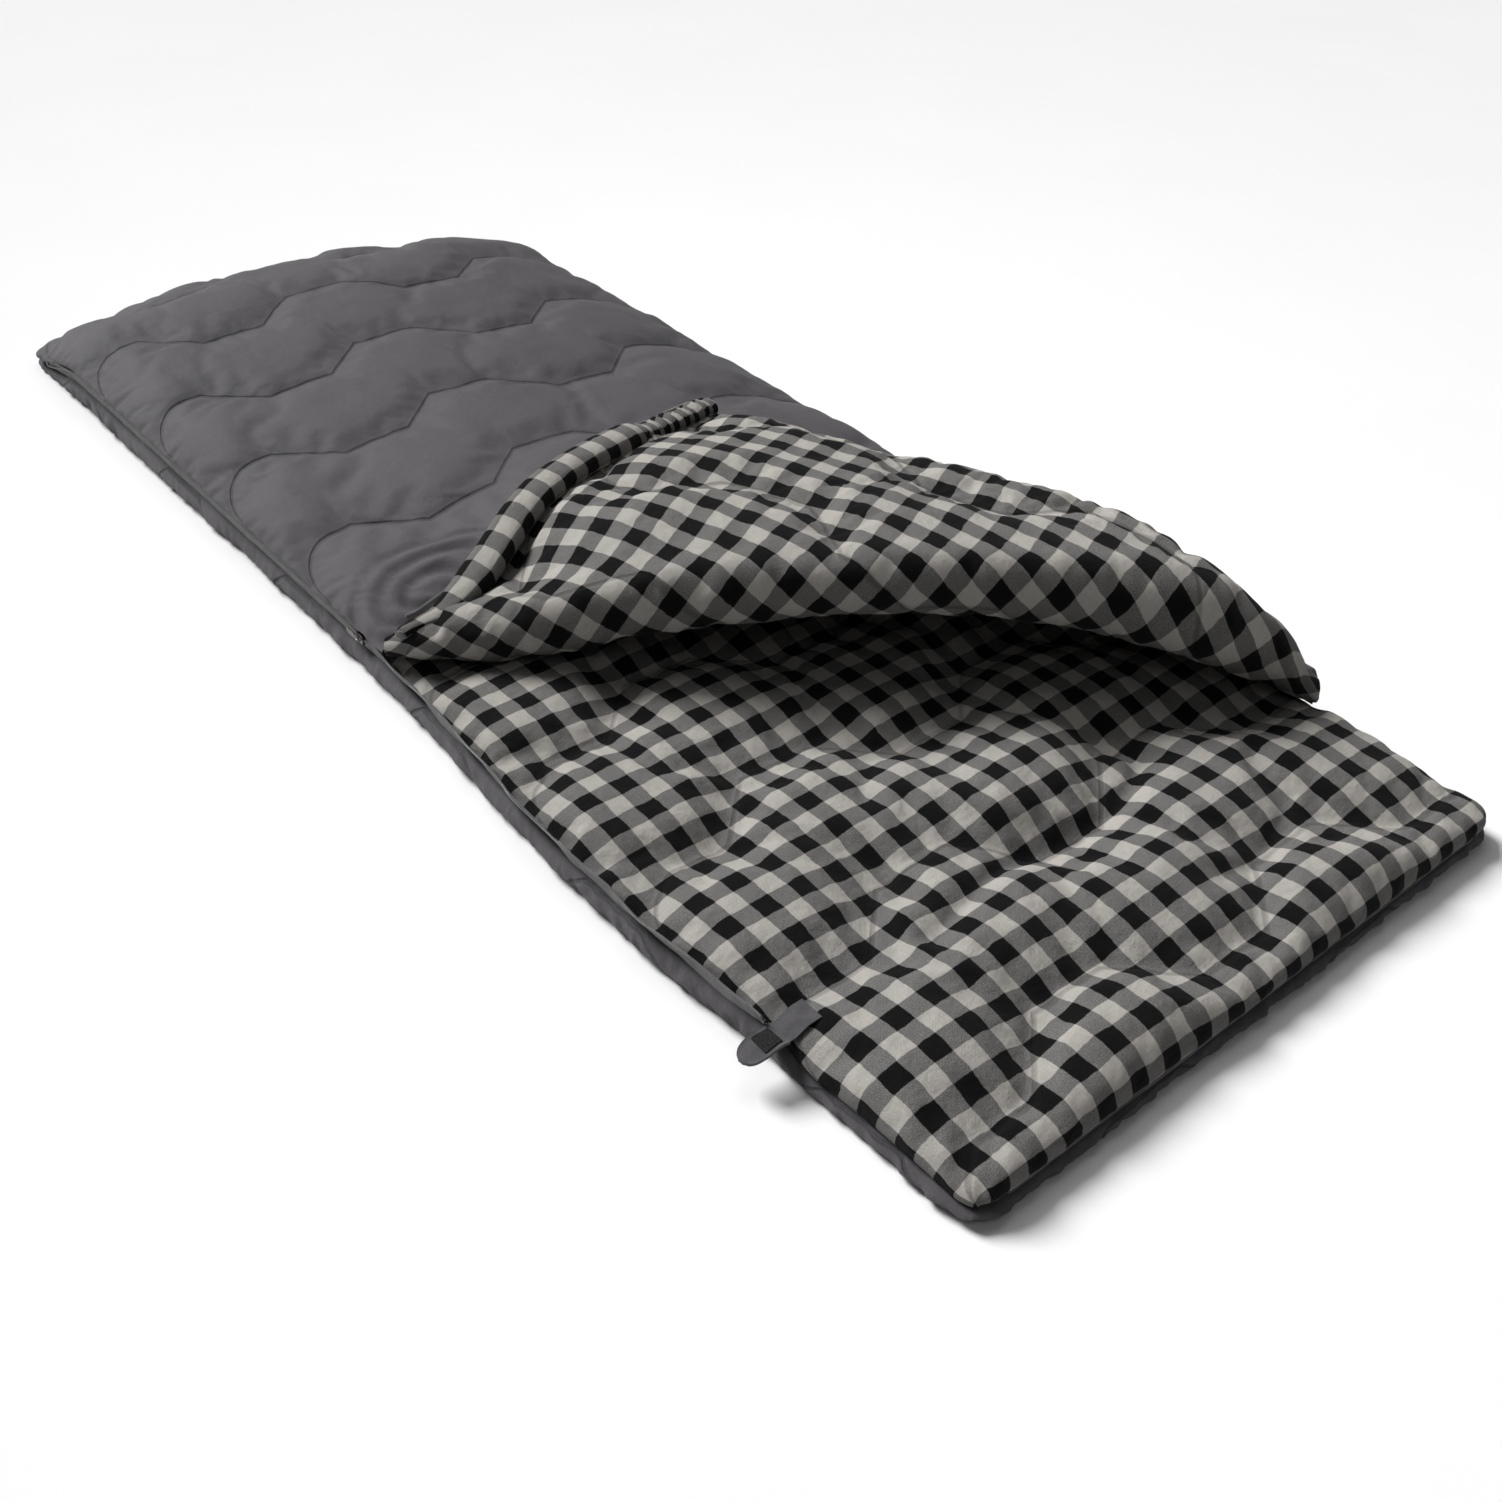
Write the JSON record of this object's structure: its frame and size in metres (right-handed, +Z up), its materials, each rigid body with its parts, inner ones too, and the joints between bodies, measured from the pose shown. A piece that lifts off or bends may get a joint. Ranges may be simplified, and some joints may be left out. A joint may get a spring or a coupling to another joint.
{
  "type": "rectangular sleeping bag",
  "caption": "Quilted rectangular sleeping bag with a checked flannel lining, a side zip opened halfway and the loose part of its top panel folded back.",
  "frame": {"origin": "on the floor under the centre of the bag's 2.20 m by 0.89 m bottom panel", "axes": "+X to the zip side, +Y to the head end, +Z up"},
  "size_m": [0.949, 2.203, 0.242],
  "materials": {
    "shell_fabric": "plain woven grey shell, quilted",
    "lining_flannel": "brushed flannel, black and off-white 25 mm check",
    "batting": "hollow fibre wadding",
    "binding": "grey seam binding",
    "zip_tape": "woven zip tape",
    "zip_coil": "nylon coil",
    "zip_metal": "dark plated zinc",
    "tab_fabric": "grey webbing",
    "hook_patch": "black hook tape"
  },
  "bodies": {
    "bag": {"bottom_outer_shell": "shell_fabric", "bottom_batting": "batting", "bottom_lining": "lining_flannel", "top_outer_shell": "shell_fabric", "top_batting": "batting", "top_lining": "lining_flannel", "side_seam_binding": "binding", "foot_seam_binding": "binding", "head_hem_binding": "binding", "bottom_zip_tape": "zip_tape", "bottom_zip_coil": "zip_coil", "top_zip_tape": "zip_tape", "top_zip_coil": "zip_coil", "zip_bottom_stop": "zip_metal", "bottom_zip_top_stop": "zip_metal", "closure_tab_base": "tab_fabric"},
    "flap": {"flap_outer_shell": "shell_fabric", "flap_batting": "batting", "flap_lining": "lining_flannel", "flap_hem_binding": "binding", "flap_zip_tape": "zip_tape", "flap_zip_coil": "zip_coil", "flap_zip_top_stop": "zip_metal", "draught_tube_cover": "lining_flannel", "draught_tube_filling": "batting"},
    "slider": {"zip_slider_body": "zip_metal", "zip_slider_bail": "zip_metal"},
    "pull": {"zip_pull": "zip_metal"},
    "closure_tab": {"closure_tab_strap": "tab_fabric", "closure_tab_hooks": "hook_patch"}
  },
  "joints": [
    {"name": "flap_fold", "type": "hinge", "parent": "bag", "child": "flap", "pos_m": [0.42815, 0.04118, 0.062], "axis": [-0.7313, 0.682, 0], "range_deg": [0, 70]},
    {"name": "slider_travel", "type": "slide", "parent": "bag", "child": "slider", "axis": [0, -1, 0], "range_m": [0, 1.05]},
    {"name": "pull_swing", "type": "hinge", "parent": "slider", "child": "pull", "pos_m": [0.45269, 0.02, 0.0535], "axis": [0, 0, 1], "range_deg": [0, 165]},
    {"name": "tab_fold", "type": "hinge", "parent": "bag", "child": "closure_tab", "pos_m": [0.45649, 0.85, 0.0459], "axis": [0, -1, 0], "range_deg": [0, 110]}
  ]
}
